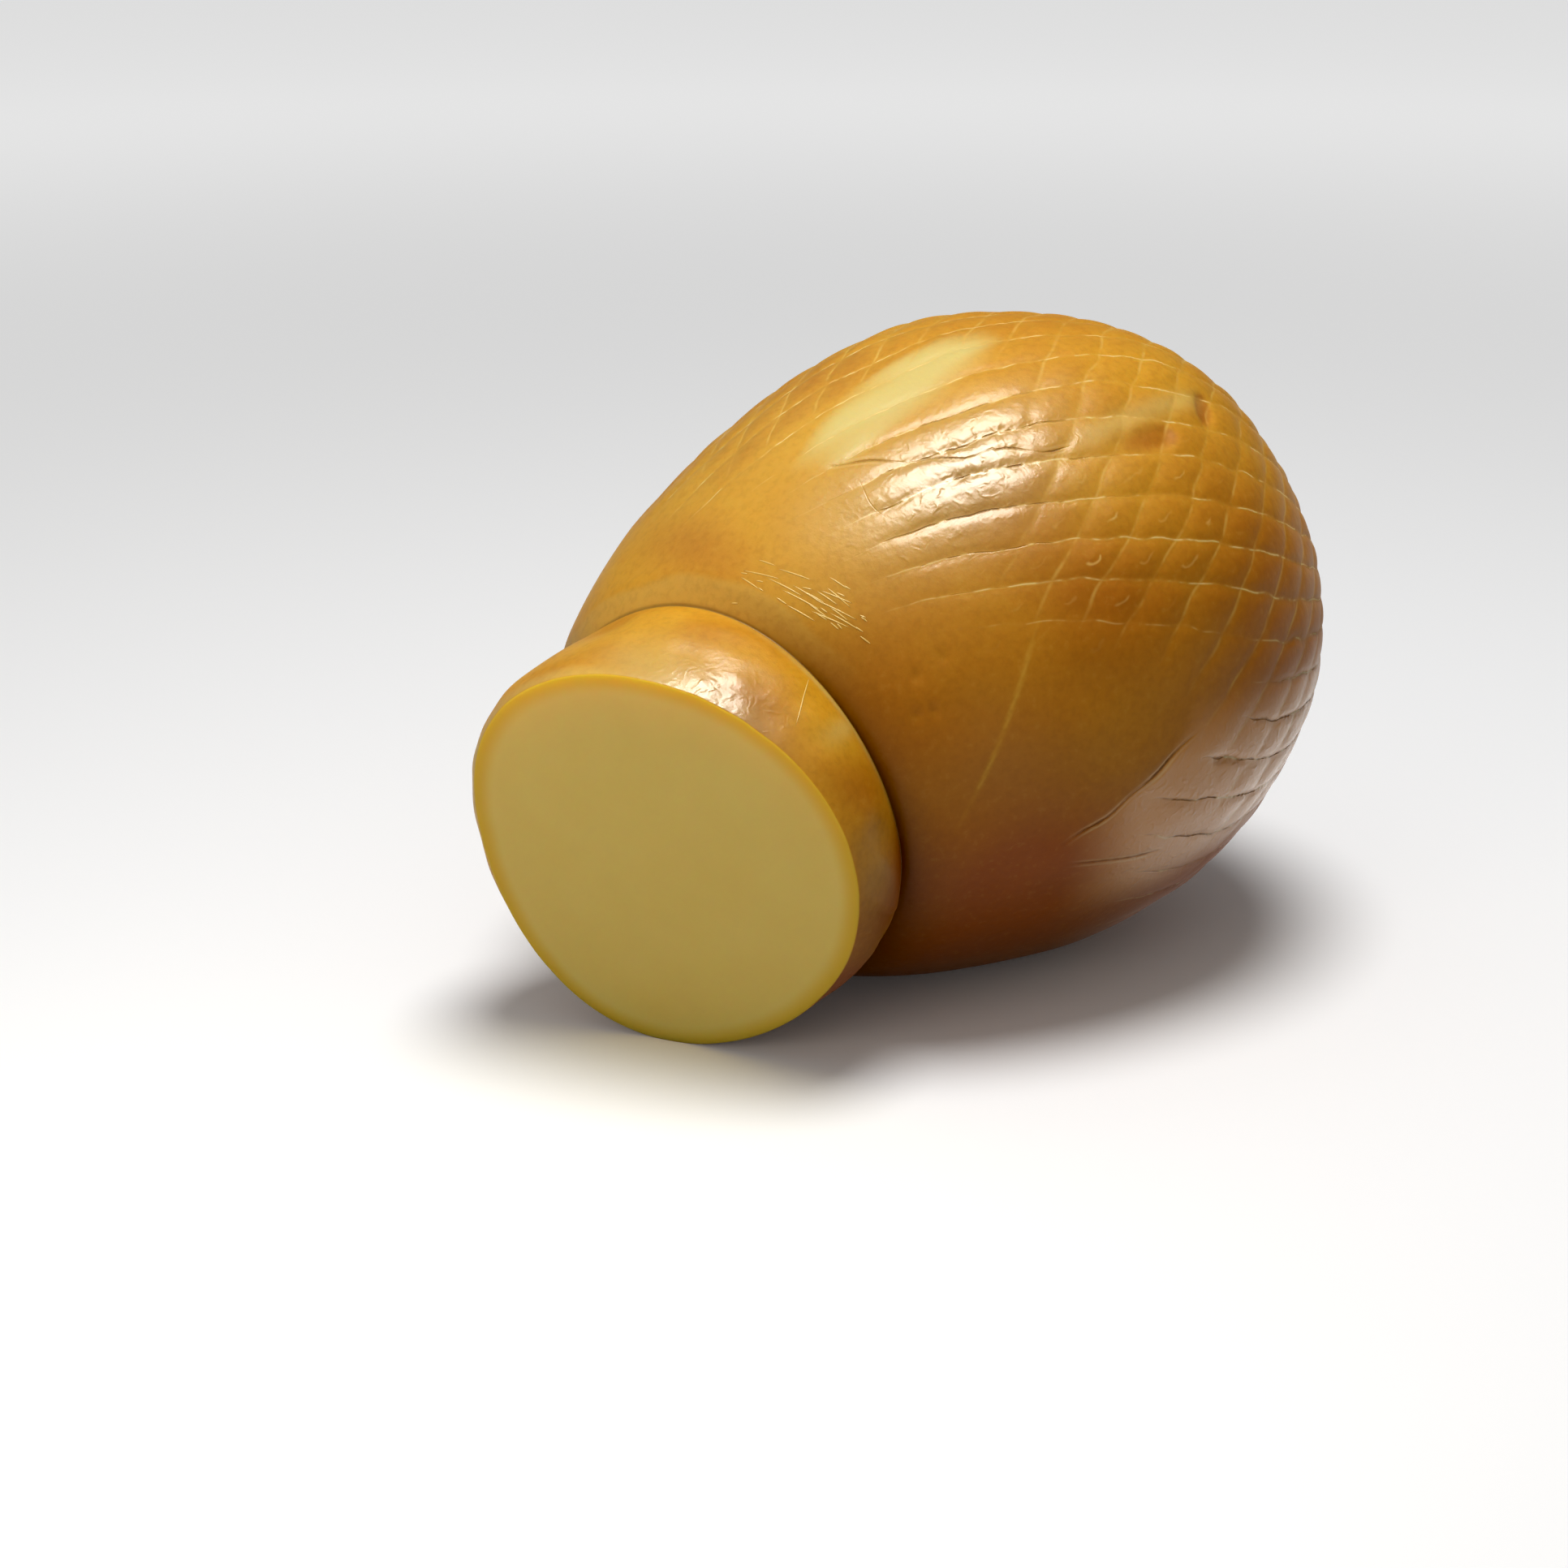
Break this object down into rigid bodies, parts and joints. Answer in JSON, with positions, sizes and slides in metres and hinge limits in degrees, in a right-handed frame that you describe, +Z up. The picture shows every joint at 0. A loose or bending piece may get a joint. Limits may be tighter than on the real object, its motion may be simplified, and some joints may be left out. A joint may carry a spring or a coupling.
{
  "type": "smoked scamorza",
  "caption": "Pear-shaped smoked scamorza cheese lying on its belly, amber rind dimpled by a hanging net, the small head cut off at a slant to show pale paste.",
  "frame": {"origin": "on the floor, under the middle of the cheese's bounding box", "axes": "+X from the cut head to the fat end, +Z up, -Y to the side that the picture shows"},
  "size_m": [0.1704, 0.12, 0.1187],
  "materials": {
    "smoked_rind": "satin, waxy smoked cheese rind, pale yellow paste at the cut"
  },
  "bodies": {
    "root": {"scamorza": "smoked_rind"}
  },
  "joints": []
}
